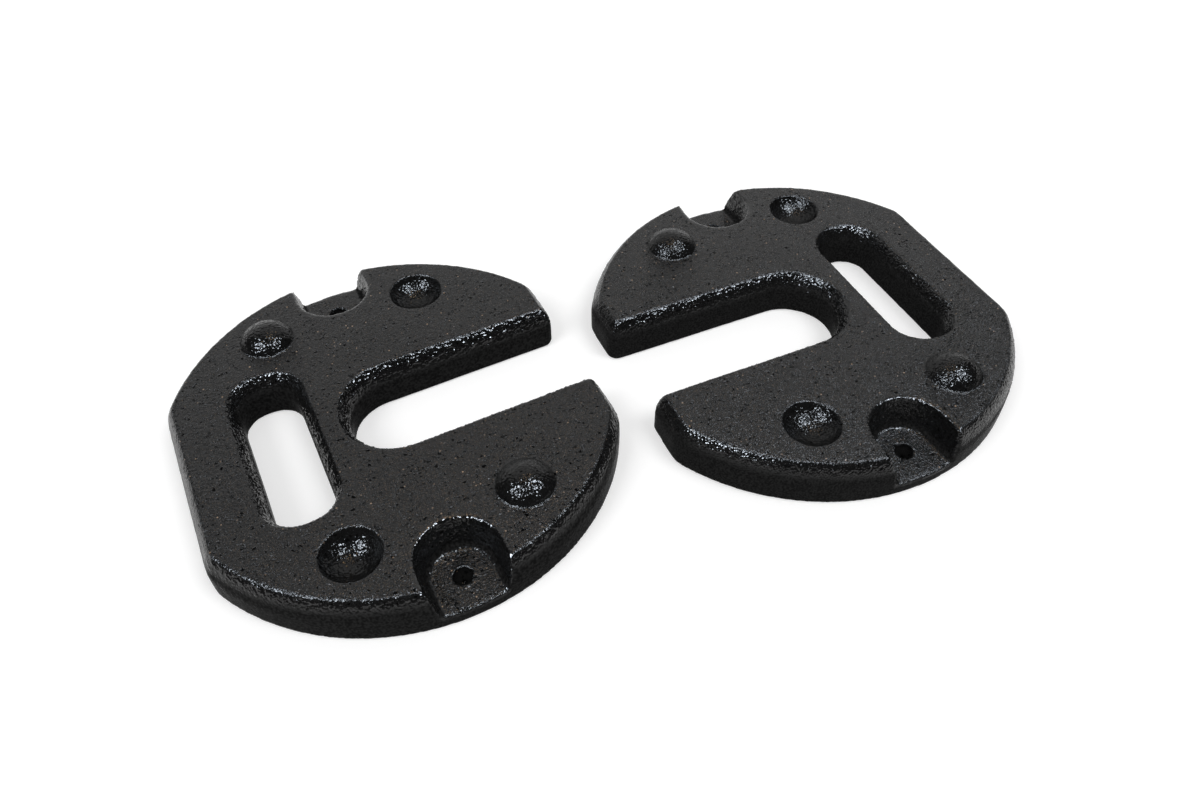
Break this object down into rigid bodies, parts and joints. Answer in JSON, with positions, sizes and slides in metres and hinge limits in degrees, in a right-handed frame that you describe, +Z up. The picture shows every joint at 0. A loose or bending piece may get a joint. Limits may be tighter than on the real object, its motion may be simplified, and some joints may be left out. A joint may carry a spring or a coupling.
{
  "type": "gazebo weight pair",
  "caption": "Round cast iron ballast plates for gazebo legs, each with a leg slot, a handle slot, interlocking domes and dimples, and rim pockets for ground pegs.",
  "frame": {"origin": "on the ground, under the middle of the pair's bounding box", "axes": "+Z up; +X along the left plate's leg slot, from the left plate to the right plate"},
  "size_m": [0.5652, 0.3438, 0.044],
  "materials": {
    "black_iron": "satin black paint over a rough as-cast surface"
  },
  "bodies": {
    "left_plate": {"left_plate": "black_iron"},
    "right_plate": {"right_plate": "black_iron"}
  },
  "joints": [
    {"name": "right_plate_lift", "type": "slide", "parent": "left_plate", "child": "right_plate", "axis": [0, 0, 1], "range_m": [0, 0.25]}
  ]
}
